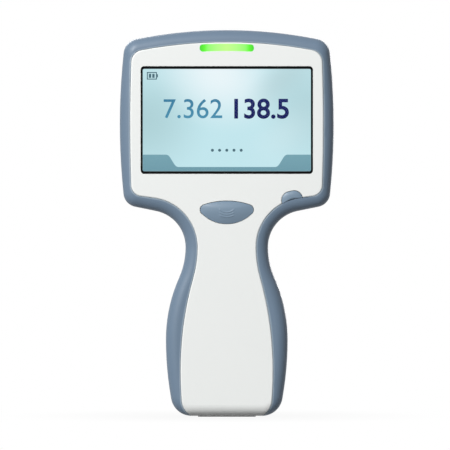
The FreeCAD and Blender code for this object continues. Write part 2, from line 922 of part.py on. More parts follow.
def back_housing():
    """The back cover, with the battery bay, the screw wells and the windows moulded in."""
    whole = envelope(0)
    keep = slab(split_y, far_back)
    body = whole.cut(envelope(back_wall)).common(keep)
    rim = whole.cut(envelope(cover_inset)).common(slab(split_y, split_y + rim_height))
    bay_front = pack_front_y - slide_gap - bay_wall
    bay = bay_block(slide_gap + bay_wall, bay_front).common(whole)
    tubes = [tube.common(whole) for tube in boss_posts(split_y, far_back, boss_radius)]
    ring = round_bar(speaker_radius + bay_wall, back_wall_y - speaker_depth / 2, back_wall_y, speaker_x,
                     speaker_z)
    body = fused([body, rim, bay, ring] + tubes)
    cuts = [bay_block(slide_gap, pack_front_y - slide_gap),
            round_bar(speaker_radius + part_gap, back_wall_y - speaker_depth, back_wall_y, speaker_x,
                      speaker_z),
            plate(window_width + 2 * part_gap, window_height + 2 * part_gap, window_corner,
                  head_back_depth - window_thickness, far_back, 0, imager_z),
            plate(window_width - 2 * window_margin, window_height - 2 * window_margin, window_margin,
                  back_wall_y, far_back, 0, imager_z),
            plate(label_width + 2 * part_gap, label_height + 2 * part_gap, label_corner + part_gap,
                  head_back_depth - label_recess, far_back, 0, label_z),
            plate_down(bezel_width + 2 * part_gap, bezel_thickness + 2 * part_gap, bezel_corner, -overrun,
                       bezel_top_z()),
            foot(back_foot_near_y, back_foot_far_y)]
    cuts += boss_posts(split_y, far_back, housing_screw_radius + part_gap)
    cuts += boss_posts(split_y + housing_screw_grip, far_back, counterbore_radius)
    cuts += terminal_slots(part_gap, bay_front, pack_front_y)
    cuts += [catch_plate(side, catch_thickness) for side in (1, -1)]
    cuts += dock_bars(0, -overrun, base_floor_z)
    cuts += grille_cuts()
    cuts.append(seal_ring())
    return without(body, cuts).removeSplitter()


def rating_label():
    """The blank label in the recess at the back of the head."""
    near = head_back_depth - label_recess
    return plate(label_width, label_height, label_corner, near, near + label_thickness, 0, label_z)


def grille_cuts():
    half = grille_slot_length / 2
    rows = [speaker_z + grille_pitch * (i - (grille_slots - 1) / 2) for i in range(grille_slots)]
    return [plate(2 * half, grille_slot_width, grille_slot_width * corner_share, back_wall_y, far_back,
                  speaker_x, z)
            for z in rows]


def seal_ring():
    inner = rail_wall + rail_gap + (cover_wall - seal_width) / 2
    ring = envelope(inner).cut(envelope(inner + seal_width))
    return ring.common(slab(split_y, split_y + seal_width))


def housing_seal():
    """A soft cord in a groove between the two housings."""
    return seal_ring()


def housing_screws():
    """Long screws from the back into the front housing's posts."""
    seat = split_y + housing_screw_grip
    shanks = boss_posts(split_y - housing_screw_engagement, seat, housing_screw_radius)
    heads = boss_posts(seat, seat + housing_head_height, housing_head_radius)
    return [shank.fuse(head) for shank, head in zip(shanks, heads)]


def screw_plugs():
    """Soft plugs that close the screw wells flush with the back."""
    whole, inner = envelope(0), envelope(plug_depth)
    behind = slab(split_y + housing_screw_grip, far_back)
    return [well.common(behind).common(whole).cut(inner)
            for well in boss_posts(split_y + housing_screw_grip, far_back, counterbore_radius)]


# Cartridge port

def plate_down(width, deep, corner, z0, z1, x=0, y=0):
    """A rounded rectangle seen from below, run from z0 up to z1."""
    shape = block(x - width / 2, x + width / 2, y - deep / 2, y + deep / 2, z0, z1)
    edges = [e for e in shape.Edges if abs(e.BoundBox.ZLength - (z1 - z0)) < edge_slack]
    return shape.makeFillet(corner, edges)


def bezel_top_z():
    return foot_proud + bezel_height


def port_bezel():
    """The funnel at the port's mouth."""
    shape = plate_down(bezel_width, bezel_thickness, bezel_corner, foot_proud, bezel_top_z())
    slot = middle_block(slot_width, -slot_thickness / 2, slot_thickness / 2, 0, bezel_top_z())
    edges = []
    mouth = [V(s * (slot_width / 2 + funnel), t * (slot_thickness / 2 + funnel), foot_proud)
             for s, t in ((-1, -1), (1, -1), (1, 1), (-1, 1))]
    throat = [V(s * slot_width / 2, t * slot_thickness / 2, foot_proud + funnel)
              for s, t in ((-1, -1), (1, -1), (1, 1), (-1, 1))]
    wires = [Part.makePolygon(points + points[:1]) for points in (mouth, throat)]
    return without(shape, [slot, Part.makeLoft(wires, True, True)])


def guide_top_z():
    return foot_proud + slot_depth + guide_wall


def pin_places():
    return [(pin_pitch * (i - (pin_columns - 1) / 2), block_z + pin_pitch * (j - (pin_rows - 1) / 2) * 2)
            for i in range(pin_columns) for j in range(pin_rows)]


def cartridge_guide():
    """The sleeve that the cartridge slides up, with windows for the contacts and plungers."""
    half_x, half_y = slot_width / 2 + guide_wall, slot_thickness / 2 + guide_wall
    sleeve = middle_block(2 * half_x, -half_y, half_y, bezel_top_z(), guide_top_z())
    flanges = middle_block(2 * (half_x + guide_flange), -half_y, -half_y + guide_wall, guide_flange_low_z,
                           guide_flange_high_z)
    body = sleeve.fuse(flanges).removeSplitter()
    near, far = -half_y, -slot_thickness / 2
    row = pin_pitch * (pin_columns - 1) / 2 + 2 * pin_radius
    cuts = [middle_block(slot_width, -slot_thickness / 2, slot_thickness / 2, 0,
                         guide_top_z() - guide_wall)]
    for z in sorted({place[1] for place in pin_places()}):
        cuts.append(middle_block(2 * row, near, far, z - 2 * pin_radius, z + 2 * pin_radius))
    cuts.append(round_bar(calibrant_radius + slide_gap, near, far, -plunger_x, plunger_z))
    cuts.append(round_bar(sample_radius + slide_gap, near, far, plunger_x, plunger_z))
    cuts.append(Part.makeCylinder(stop_hole_radius, 2 * guide_wall,
                                  V(0, 0, guide_top_z() - 2 * guide_wall), UPWARD))
    return without(body, cuts)


def heater_plate():
    near = slot_thickness / 2 + guide_wall
    return middle_block(heater_width, near, near + heater_thickness, block_z - heater_height / 2,
                        block_z + heater_height / 2)


def end_stop_switch():
    """A small switch over the hole in the guide's end, pressed when a cartridge is home."""
    z = guide_top_z()
    body = middle_block(switch_width, -switch_depth / 2, switch_depth / 2, z, z + switch_height)
    nub = Part.makeCylinder(stop_hole_radius - part_gap, guide_wall, V(0, 0, z - guide_wall), UPWARD)
    return body.fuse(nub).removeSplitter()


def dock_contacts():
    return dock_bars(0, foot_proud, base_floor_z + foot_proud)


# Battery pack

def pack_block(y0, y1, inset):
    return middle_block(pack_width - 2 * inset, y0, y1, pack_bottom_z + inset, pack_top_z - inset)


def catch_bump(radius, length):
    """Upright round bars where the catches snap into the pack's sides."""
    x = pack_width / 2 + slide_gap
    return [Part.makeCylinder(radius, length, V(side * x, catch_y, catch_z - length / 2),
                              UPWARD) for side in (1, -1)]


def battery_case():
    lid_back = pack_front_y + pack_lid_thickness
    shape = envelope(0).common(pack_block(lid_back, far_back, 0))
    hollow = envelope(pack_wall).common(pack_block(lid_back, far_back, pack_wall))
    pull = plate(pull_width, pull_height, pull_depth, base_back_depth - pull_depth - back_wall / 2,
                 far_back, 0,
                 back_curve_base_z)
    shape = shape.cut(hollow)
    pull_box = plate(pull_width + pack_wall, pull_height + pack_wall, pull_depth, cell_back_y(),
                     base_back_depth - pack_wall, 0,
                     back_curve_base_z)
    shape = shape.fuse(pull_box.common(envelope(0)))
    notches = catch_bump(catch_reach + catch_thickness + part_gap, catch_width + 2 * soft_gap)
    grooves = [plate(pack_groove_width, pack_groove_height, pack_groove_height * corner_share,
                     base_back_depth - pack_groove_depth, far_back, 0,
                     pack_groove_low_z + pack_groove_pitch * i) for i in range(pack_grooves)]
    return without(shape, [pull] + notches + grooves).removeSplitter()


def cell_back_y():
    return cell_y() + cell_radius + part_gap


def cell_y():
    return pack_front_y + pack_lid_thickness + cell_radius + part_gap


def battery_lid():
    lid = pack_block(pack_front_y, pack_front_y + pack_lid_thickness, 0)
    return without(lid, contact_pads())


def battery_contacts():
    return contact_pads()


def contact_pads():
    return [block(x - contact_width / 2, x + contact_width / 2, pack_front_y,
                  pack_front_y + contact_depth,
                  contact_z - contact_height / 2, contact_z + contact_height / 2)
            for x in [contact_pitch * (i - (contact_count - 1) / 2) for i in range(contact_count)]]


def battery_cells():
    z = pack_bottom_z + pack_wall
    return [Part.makeCylinder(cell_radius, cell_length, V(side * cell_pitch / 2, cell_y(), z),
                              UPWARD) for side in (1, -1)]


def battery_catches():
    """Leaf springs in the bay's side walls, each with a rolled bump."""
    catches = []
    for side, bump in zip((1, -1), catch_bump(catch_reach, catch_width)):
        inside = bay_block(slide_gap, pack_front_y)
        catches.append(catch_plate(side, catch_thickness).fuse(bump.common(inside)).removeSplitter())
    return catches


def power_board_y():
    return pack_front_y - slide_gap - bay_wall - power_board_thickness


def power_board():
    return middle_block(power_board_width, power_board_y(), power_board_y() + power_board_thickness,
                        power_board_bottom_z, power_board_top_z)


def battery_terminals():
    return terminal_slots(0, power_board_y() + power_board_thickness, pack_front_y - part_gap)


# Head electronics

def centred(width, tall, y0, y1, x, z):
    return block(x - width / 2, x + width / 2, y0, y1, z - tall / 2, z + tall / 2)


def board_back_y():
    return main_board_y + main_board_thickness


def main_board():
    board = middle_block(main_board_width, main_board_y, board_back_y(), main_board_bottom_z,
                         main_board_top_z)
    places = both_sides([(board_post_x, board_post_low_z), (board_post_x, board_post_high_z)])
    holes = [round_bar(screw_pilot_radius, main_board_y, board_back_y(), x, z) for x, z in places]
    return without(board, holes)


def board_chips():
    y = board_back_y()
    chips = [centred(processor_size, processor_size, y, y + processor_height, shield_x, shield_z)]
    chips += [centred(chip_width, chip_height, y, y + chip_depth, chip_pitch * (i - (chip_count - 1) / 2),
                      chip_z)
              for i in range(chip_count)]
    return chips


def processor_shield():
    y = board_back_y()
    can = centred(shield_width, shield_height, y, y + shield_depth, shield_x, shield_z)
    room = centred(shield_width - 2 * shield_wall, shield_height - 2 * shield_wall, y,
                   y + shield_depth - shield_wall,
                   shield_x, shield_z)
    return can.cut(room)


def board_connectors():
    y = board_back_y()
    places = [(-display_connector_x, base_connector_z), (0, base_connector_z),
              (display_connector_x, display_connector_z)]
    return [centred(connector_width, connector_height, y, y + connector_depth, x, z) for x, z in places]


def radio_module():
    y = board_back_y()
    carrier = centred(radio_width, radio_height, y, y + radio_depth / 2, radio_x, radio_z)
    can = centred(radio_width - radio_depth, radio_height * 2 / 3, y + radio_depth / 2, y + radio_depth,
                  radio_x, radio_z - radio_height / 2 + radio_height / 3 + radio_depth / 2)
    return carrier.fuse(can).removeSplitter()


def coin_cell():
    return round_bar(coin_radius, board_back_y(), board_back_y() + coin_depth, coin_x, coin_z)


def ribbon(x, points):
    """A flat cable that runs straight between (y, z) points, each run along Y or Z."""
    t = ribbon_thickness / 2
    runs = []
    for (y0, z0), (y1, z1) in zip(points, points[1:]):
        runs.append(block(x - ribbon_width / 2, x + ribbon_width / 2, min(y0, y1) - t, max(y0, y1) + t,
                          min(z0, z1) - t, max(z0, z1) + t))
    return fused(runs)


def display_flex():
    """From behind the display, round the main board's lower edge, up to its connector."""
    t = ribbon_thickness / 2
    frame_back = front_y + screen_recess + glass_thickness + display_thickness + display_frame_thickness / 2
    turn_z = main_board_bottom_z - 2 * ribbon_thickness
    y = board_back_y() + connector_depth / 2
    plug_z = base_connector_z - connector_height / 2 - t
    return ribbon(-display_connector_x, [(frame_back + t, chip_z), (frame_back + t, turn_z), (y, turn_z),
                                         (y, plug_z)])


def base_flex():
    """From the main board down through the neck to the power board."""
    t = ribbon_thickness / 2
    y = board_back_y() + connector_depth / 2
    turn_z = power_board_top_z + connector_height
    board_y = power_board_y() - t
    return ribbon(0, [(y, base_connector_z - connector_height / 2 - t), (y, turn_z), (board_y, turn_z),
                      (board_y, power_board_top_z - connector_height)])


def board_screws():
    return [small_screw(*place) for place in screw_places()]


def speaker():
    frame = round_bar(speaker_radius, back_wall_y - speaker_depth, back_wall_y, speaker_x, speaker_z)
    rear = back_wall_y - speaker_depth
    magnet = round_bar(speaker_radius / 2, rear - speaker_magnet_depth, rear, speaker_x, speaker_z)
    hollow = Part.makeCone(speaker_radius / 3, speaker_radius - bay_wall, speaker_depth / 2,
                           V(speaker_x, back_wall_y - speaker_depth / 2, speaker_z), BACKWARD)
    return frame.fuse(magnet).removeSplitter().cut(hollow)


def imager_body():
    near = back_wall_y - imager_depth
    shape = centred(imager_width, imager_height, near, back_wall_y, 0, imager_z)
    return shape.cut(round_bar(imager_lens_radius, back_wall_y - imager_lens_depth, back_wall_y, 0,
                               imager_z))


def imager_lens():
    near = back_wall_y - imager_lens_depth
    bar = round_bar(imager_lens_radius, near, back_wall_y, 0, imager_z)
    edge = [e for e in bar.Edges if abs(e.BoundBox.YMin - back_wall_y) < edge_slack]
    return bar.makeFillet(imager_lens_depth / 2, edge)


def imager_window():
    return plate(window_width, window_height, window_corner - part_gap,
                 head_back_depth - window_thickness, head_back_depth,
                 0, imager_z)


# Cartridge press

def involute_point(base_r, r, angle):
    """Where the involute from base_r reaches radius r, turned by angle from its start."""
    roll = math.sqrt(max((r / base_r) ** 2 - 1, 0))
    turn = angle + roll - math.atan(roll)
    return r * math.cos(turn), r * math.sin(turn)


def gear(teeth, x0, x1, y, z, phase):
    """A spur gear on a cross shaft. Phase is the angle of a tooth's middle, from +Y towards +Z."""
    pitch_r = gear_module * teeth / 2
    tip_r = pitch_r + addendum_share * gear_module
    root_r = pitch_r - dedendum_share * gear_module
    alpha = math.radians(pressure_angle_deg)
    base_r = pitch_r * math.cos(alpha)
    half = math.pi / (2 * teeth) - tooth_play_share / teeth + math.tan(alpha) - alpha
    low_r = max(base_r, root_r)
    steps = 4
    flank = [low_r + (tip_r - low_r) * i / steps for i in range(steps + 1)]
    points = []
    for tooth in range(teeth):
        middle = phase + 2 * math.pi * tooth / teeth
        rise = [involute_point(base_r, r, -half) for r in flank]
        side = [(root_r * math.cos(half), -root_r * math.sin(half))] if root_r < base_r else []
        side += rise
        other = [(a, -b) for a, b in reversed(side)]
        for a, b in side + other:
            points.append(V(x0, y + a * math.cos(middle) - b * math.sin(middle),
                            z + a * math.sin(middle) + b * math.cos(middle)))
    return Part.Face(Part.makePolygon(points + points[:1])).extrude(V(x1 - x0, 0, 0))


def gear_apart():
    return gear_module * (pinion_teeth + gear_teeth) / 2


def motor_z():
    return gear_z + gear_apart()


def gear_x():
    return rack_width / 2 + gear_side_gap


def rack_pitch_z():
    return gear_z - gear_module * rack_pinion_teeth / 2


def drive_gear():
    """The large gear and the small one that drives the rack, moulded as one."""
    down, up = -math.pi / 2, math.pi / 2
    large = gear(gear_teeth, gear_x(), gear_x() + gear_width, gear_y, gear_z, up)
    small = gear(rack_pinion_teeth, -rack_width / 2, rack_width / 2, gear_y, gear_z,
                 down + math.pi / rack_pinion_teeth)
    hub = cross_bar(2 * axle_radius, -rack_width / 2, gear_x() + gear_width + shaft_gap * 2, gear_y,
                    gear_z)
    bore = cross_bar(axle_radius + shaft_gap, -motor_length, motor_length, gear_y, gear_z)
    return fused([large, small, hub]).cut(bore)


def gear_axle():
    return cross_bar(axle_radius, ear_left_x() - ear_thickness, ear_right_x() + ear_thickness, gear_y,
                     gear_z)


def ear_left_x():
    return -rack_width / 2 - soft_gap


def ear_right_x():
    return gear_x() + gear_width + soft_gap


def motor_pinion():
    """The motor's shaft with its pinion, whose gap faces the large gear's tooth."""
    phase = -math.pi / 2 + math.pi / pinion_teeth
    wheel = gear(pinion_teeth, gear_x(), gear_x() + gear_width, gear_y, motor_z(), phase)
    shaft = cross_bar(motor_shaft_radius, motor_face_x() - motor_length / 2, gear_x() + gear_width,
                      gear_y, motor_z())
    return wheel.fuse(shaft).removeSplitter()


def motor_face_x():
    return gear_x() - motor_boss_length - ear_thickness - soft_gap


def drive_motor():
    x1 = motor_face_x()
    can = cross_bar(motor_radius, x1 - motor_length, x1, gear_y, motor_z())
    nose = cross_bar(motor_boss_radius, x1, x1 + ear_thickness + motor_boss_length, gear_y, motor_z())
    tail = cross_bar(motor_boss_radius, x1 - motor_length - motor_boss_length, x1 - motor_length, gear_y,
                     motor_z())
    bore = cross_bar(motor_shaft_radius + shaft_gap, x1 - motor_length / 2 - soft_gap, x1 + motor_length,
                     gear_y, motor_z())
    return fused([can, nose, tail]).cut(bore)


def mechanism_chassis():
    """A plate with two ears for the gear's axle and a wall that the motor is fixed to."""
    back = chassis_y + chassis_thickness
    base = middle_block(chassis_width, chassis_y, back, chassis_bottom_z, chassis_top_z)
    ears = [block(x, x + ear_thickness, chassis_y, chassis_y + ear_reach, gear_z - ear_half_height,
                  gear_z + ear_half_height)
            for x in (ear_left_x() - ear_thickness, ear_right_x())]
    wall = block(motor_face_x(), motor_face_x() + ear_thickness, chassis_y, chassis_y + ear_reach,
                 motor_z() - motor_radius - ear_thickness, motor_z() + motor_radius + ear_thickness)
    body = fused([base, wall] + ears)
    cuts = [gear_axle(), cross_bar(motor_boss_radius, motor_face_x(), motor_face_x() + ear_thickness,
                                   gear_y, motor_z())]
    cuts += [round_bar(rod_radius, chassis_y, back, x, z) for x, z in both_sides([(rod_x, rod_z)])]
    cuts += [round_bar(screw_pilot_radius, chassis_y, back, x, z) for _, x, z in chassis_screw_places()]
    return without(body, cuts)


def chassis_screws():
    return [small_screw(*place) for place in chassis_screw_places()]


def guide_rods():
    far = -slot_thickness / 2 - guide_wall
    return [round_bar(rod_radius, chassis_y, far, x, z) for x, z in both_sides([(rod_x, rod_z)])]


def press_carriage():
    """A plate on two rods, with a rack on its top that the small gear drives."""
    far = carriage_y + carriage_thickness
    body = [middle_block(carriage_width, carriage_y, far, carriage_bottom_z, carriage_top_z)]
    body += [round_bar(carriage_lug, carriage_y - carriage_thickness / 2, far, x, z) for x,
             z in both_sides([(rod_x, rod_z)])]
    pitch = math.pi * gear_module
    tip = rack_pitch_z() + addendum_share * gear_module
    root = rack_pitch_z() - dedendum_share * gear_module
    near = gear_y - (rack_teeth_behind + 1) * pitch
    end = gear_y + rack_teeth_ahead * pitch
    half_x = rack_width / 2
    body.append(block(-half_x, half_x, carriage_y, far, carriage_top_z, root))
    body.append(block(-half_x, half_x, near, end, rack_pitch_z() - rack_height, root))
    slope = math.tan(math.radians(pressure_angle_deg))
    middle = pitch / 4 - tooth_play_share * gear_module
    for i in range(rack_teeth):
        y = gear_y - pitch * (rack_teeth_behind - i)
        low = middle + dedendum_share * gear_module * slope
        high = middle - addendum_share * gear_module * slope
        outline = [V(-half_x, y - low, root), V(-half_x, y - high, tip), V(-half_x, y + high, tip),
                   V(-half_x, y + low, root)]
        if near <= y - low and y + low <= end:
            body.append(Part.Face(Part.makePolygon(outline + outline[:1])).extrude(V(rack_width, 0, 0)))
    bores = [round_bar(rod_radius + shaft_gap, chassis_y, 0, x, z) for x,
             z in both_sides([(rod_x, rod_z)])]
    return without(fused(body), bores)


def contact_block():
    near = carriage_y + carriage_thickness
    shape = centred(block_width, block_height, near, near + block_depth, 0, block_z)
    return without(shape, contact_pins())


def contact_pins():
    """Sprung gold pins that touch the cartridge's pads."""
    far = carriage_y + carriage_thickness + block_depth
    return [round_bar(pin_radius, far - block_depth / 2, far + pin_length, x, z) for x, z in pin_places()]


def plunger(radius, x):
    """A rod with a rounded tip, short of the guide's inner face."""
    far = -slot_thickness / 2 - guide_wall - plunger_tip_gap
    bar = round_bar(radius, carriage_y + carriage_thickness, far, x, plunger_z)
    edge = [e for e in bar.Edges if abs(e.BoundBox.YMin - far) < edge_slack]
    return bar.makeFillet(plunger_tip_gap, edge)


def calibrant_plunger():
    return plunger(calibrant_radius, -plunger_x)


def sample_plunger():
    return plunger(sample_radius, plunger_x)


def home_sensor():
    near = chassis_y + chassis_thickness
    shape = centred(sensor_width, sensor_height, near, near + sensor_depth, sensor_x, sensor_z)
    gate = centred(sensor_width / 2, sensor_height, near + sensor_depth / 2, near + sensor_depth,
                   sensor_x, sensor_z)
    return shape.cut(gate)


PARTS = [
    front_housing, side_rail, back_housing, housing_seal, housing_screws, screw_plugs, base_feet,
    screen_gasket, touch_glass, display_panel, display_frame, display_flex,
    light_bar, status_leds, light_board,
    scan_button, power_button, button_board,
    port_bezel, cartridge_guide, heater_plate, end_stop_switch, dock_contacts,
    battery_case, battery_lid, battery_contacts, battery_cells, battery_catches,
    power_board, battery_terminals,
    main_board, board_chips, processor_shield, board_connectors, radio_module, coin_cell, base_flex,
    board_screws,
    rating_label, speaker, imager_body, imager_lens, imager_window,
    mechanism_chassis, chassis_screws, guide_rods, drive_motor, motor_pinion, drive_gear, gear_axle,
    press_carriage, contact_block, contact_pins, calibrant_plunger, sample_plunger, home_sensor,
]


def export(name, shape):
    solids = shape if isinstance(shape, list) else [shape]
    solids = [solid for item in solids for solid in item.Solids]
    whole = solids[0] if len(solids) == 1 else Part.makeCompound(solids)
    whole.exportStep("parts/" + name + ".step")
    return whole


os.makedirs("parts", exist_ok=True)
for make in PARTS:
    export(make.__name__, make())
export("scan_dome", button_dome(SCAN_CENTRE))
export("power_dome", button_dome(power_centre()))
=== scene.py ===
import math

import bpy
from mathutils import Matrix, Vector
from mathutils.bvhtree import BVHTree


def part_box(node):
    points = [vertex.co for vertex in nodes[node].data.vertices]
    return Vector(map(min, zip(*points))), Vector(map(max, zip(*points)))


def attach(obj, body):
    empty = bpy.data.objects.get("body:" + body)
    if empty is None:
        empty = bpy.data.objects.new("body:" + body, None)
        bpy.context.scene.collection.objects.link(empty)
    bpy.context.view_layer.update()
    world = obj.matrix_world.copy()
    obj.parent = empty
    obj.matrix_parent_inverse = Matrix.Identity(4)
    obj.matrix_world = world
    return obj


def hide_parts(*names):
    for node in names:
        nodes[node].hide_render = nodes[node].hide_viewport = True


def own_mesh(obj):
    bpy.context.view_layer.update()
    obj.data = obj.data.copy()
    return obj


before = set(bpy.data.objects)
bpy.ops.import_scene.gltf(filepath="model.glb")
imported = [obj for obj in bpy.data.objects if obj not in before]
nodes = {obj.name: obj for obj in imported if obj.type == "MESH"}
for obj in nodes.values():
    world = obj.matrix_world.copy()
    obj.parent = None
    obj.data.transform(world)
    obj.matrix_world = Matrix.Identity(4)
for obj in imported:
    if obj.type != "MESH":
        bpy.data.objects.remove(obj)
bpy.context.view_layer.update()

# The studio: a pale floor, an even white room and soft lamps, as for a catalogue picture.
# The camera stands far off, level with the middle of the analyzer, so its sides stay parallel.
mm = 0.001
view_width = 288 * mm
camera_distance = 4.0
camera_middle = Vector((-1.15, -30, 122.8)) * mm
sensor_width = 36.0
lamp_aim = Vector((0, 0, 0.14))
upright = (math.radians(90), 0, 0)


def linear(code):
    """The linear colour of an sRGB hex code."""
    shares = [int(code[i:i + 2], 16) / 255 for i in (1, 3, 5)]
    return [s / 12.92 if s <= 0.04045 else ((s + 0.055) / 1.055) ** 2.4 for s in shares] + [1.0]


def add_node(tree, kind, links=None, sockets=None, **settings):
    """A node with its settings, its fixed inputs and the outputs that feed it."""
    node = tree.nodes.new(kind)
    for name, value in settings.items():
        setattr(node, name, value)
    for key, value in (sockets or {}).items():
        node.inputs[key].default_value = value
    for key, output in (links or {}).items():
        tree.links.new(output, node.inputs[key])
    return node


def new_material(name):
    """A material with its node tree and its Principled shader."""
    material = bpy.data.materials.new(name)
    material.use_nodes = True
    tree = material.node_tree
    return material, tree, tree.nodes["Principled BSDF"]


def dress(names, material):
    """Gives the CAD nodes of these names one material."""
    for name in names.split():
        mesh = nodes[name].data
        mesh.materials.clear()
        mesh.materials.append(material)


def deselect():
    """Leaves edit mode and selects nothing."""
    if bpy.context.object and bpy.context.object.mode != "OBJECT":
        bpy.ops.object.mode_set(mode="OBJECT")
    bpy.ops.object.select_all(action="DESELECT")


def seen_ray(tree):
    """1 for rays of the camera, of a gloss and through glass, 0 for the rays that light pieces."""
    path = add_node(tree, "ShaderNodeLightPath")
    gloss = add_node(tree, "ShaderNodeMath", operation="MAXIMUM", links={
        0: path.outputs["Is Camera Ray"], 1: path.outputs["Is Glossy Ray"]})
    return add_node(tree, "ShaderNodeMath", operation="MAXIMUM", links={
        0: gloss.outputs[0], 1: path.outputs["Is Transmission Ray"]}).outputs[0]


world = bpy.data.worlds.new("white_room")
bpy.context.scene.world = world
world.use_nodes = True
room = world.node_tree
room.nodes.clear()
room_light = add_node(room, "ShaderNodeBackground", sockets={"Color": linear("#f7fafc"), "Strength": 0.15})
room_white = add_node(room, "ShaderNodeBackground", sockets={"Color": linear("#ffffff"), "Strength": 1.0})
room_mix = add_node(room, "ShaderNodeMixShader", links={
    0: seen_ray(room), 1: room_light.outputs[0], 2: room_white.outputs[0]})
add_node(room, "ShaderNodeOutputWorld", links={"Surface": room_mix.outputs[0]})

deselect()
bpy.ops.mesh.primitive_circle_add(vertices=96, radius=1.6, fill_type="NGON", location=(0, 0, -0.3 * mm))
floor = bpy.context.object
floor.name = "studio_floor"
floor_paint, tree, shader = new_material("white_floor_paint")
shader.inputs["Base Color"].default_value = linear("#636363")
shader.inputs["Roughness"].default_value = 0.85
place = add_node(tree, "ShaderNodeTexCoord").outputs["Object"]
reach = add_node(tree, "ShaderNodeVectorMath", operation="LENGTH", links={0: place}).outputs["Value"]
fade = add_node(tree, "ShaderNodeMapRange", interpolation_type="SMOOTHSTEP", links={"Value": reach}, sockets={
    "From Min": 0.03, "From Max": 0.16, "To Min": 0.93, "To Max": 1.0}).outputs[0]
white_share = add_node(tree, "ShaderNodeMath", operation="MULTIPLY", links={0: fade, 1: seen_ray(tree)})
plain_white = add_node(tree, "ShaderNodeEmission", sockets={"Color": linear("#ffffff"), "Strength": 1.0})
floor_mix = add_node(tree, "ShaderNodeMixShader", links={
    0: white_share.outputs[0], 1: shader.outputs[0], 2: plain_white.outputs[0]})
below = add_node(tree, "ShaderNodeNewGeometry").outputs["Backfacing"]
clear = add_node(tree, "ShaderNodeBsdfTransparent")
one_sided = add_node(tree, "ShaderNodeMixShader", links={
    0: below, 1: floor_mix.outputs[0], 2: clear.outputs[0]})
tree.links.new(one_sided.outputs[0], tree.nodes["Material Output"].inputs["Surface"])
floor.data.materials.append(floor_paint)

# Each lamp: name, place, size, watts, colour
lamps = [
    ("window_lamp", (-1.6, -2.5, 1.9), 1.3, 140.0, "#fffffe"),
    ("right_back_lamp", (0.7, 2.5, 0.7), 1.2, 32.0, "#ffffff"),
    ("left_back_lamp", (-0.8, 2.4, 1.4), 1.2, 22.0, "#ffffff"),
]
for name, spot, size, power, colour in lamps:
    deselect()
    bpy.ops.object.light_add(type="AREA", location=spot)
    lamp = bpy.context.object
    lamp.name = name
    lamp.data.shape = "DISK"
    lamp.data.size = size
    lamp.data.energy = power
    lamp.data.color = linear(colour)[:3]
    lamp.rotation_euler = (lamp_aim - Vector(spot)).to_track_quat("-Z", "Y").to_euler()

deselect()
bpy.ops.object.camera_add(location=camera_middle - Vector((0, camera_distance, 0)), rotation=upright)
camera = bpy.context.object
camera.name = "studio_camera"
camera.data.sensor_width = sensor_width
camera.data.lens = sensor_width * camera_distance / view_width
camera.data.clip_end = 20.0
bpy.context.scene.camera = camera
bpy.context.scene.view_settings.view_transform = "Standard"

# The mechanism's chassis, rods and axle carry the press that works the cartridge.
# Stamped and turned steel, held to the front housing with four screws.


def metal(name, code, roughness, grain, stretch=(1, 1, 1)):
    """A bare metal: code is its colour, and fine marks a grain apart vary its gloss."""
    material, tree, shader = new_material(name)
    shader.inputs["Metallic"].default_value = 1.0
    place = add_node(tree, "ShaderNodeTexCoord").outputs["Object"]
    turned = add_node(tree, "ShaderNodeMapping", links={"Vector": place}, sockets={"Scale": stretch})
    marks = add_node(tree, "ShaderNodeTexNoise", links={"Vector": turned.outputs[0]},
                     sockets={"Scale": 1 / grain, "Detail": 4.0})
    tone = add_node(tree, "ShaderNodeMix", data_type="RGBA", links={0: marks.outputs["Fac"]})
    tone.inputs[6].default_value = [c * 0.86 for c in linear(code)[:3]] + [1]
    tone.inputs[7].default_value = [min(c * 1.1, 1) for c in linear(code)[:3]] + [1]
    gloss = add_node(tree, "ShaderNodeMapRange", links={"Value": marks.outputs["Fac"]}, sockets={
        "From Min": 0.3, "From Max": 0.7, "To Min": roughness * 0.75, "To Max": roughness * 1.25})
    bump = add_node(tree, "ShaderNodeBump", links={"Height": marks.outputs["Fac"]},
                    sockets={"Strength": 0.15, "Distance": 0.05 * mm})
    tree.links.new(tone.outputs[2], shader.inputs["Base Color"])
    tree.links.new(gloss.outputs[0], shader.inputs["Roughness"])
    tree.links.new(bump.outputs[0], shader.inputs["Normal"])
    return material


# Cold-rolled sheet has fine lines along the strip, 0.6 mm apart, coarser than real so that they show.
dress("mechanism_chassis", metal("cold_rolled_sheet", "#b4b6b8", 0.34, 0.6 * mm, (1, 1, 0.08)))
dress("guide_rods gear_axle", metal("ground_silver_steel", "#c9cbcd", 0.18, 0.4 * mm, (1, 0.1, 1)))
dress("chassis_screws board_screws housing_screws", metal("zinc_plated_steel", "#b9bcc0", 0.3, 0.5 * mm))

# The motor with its pinion, and the two-stage gear that drives the press.
# The motor's can is drawn steel, the pinion turned brass, and the gear moulded acetal.


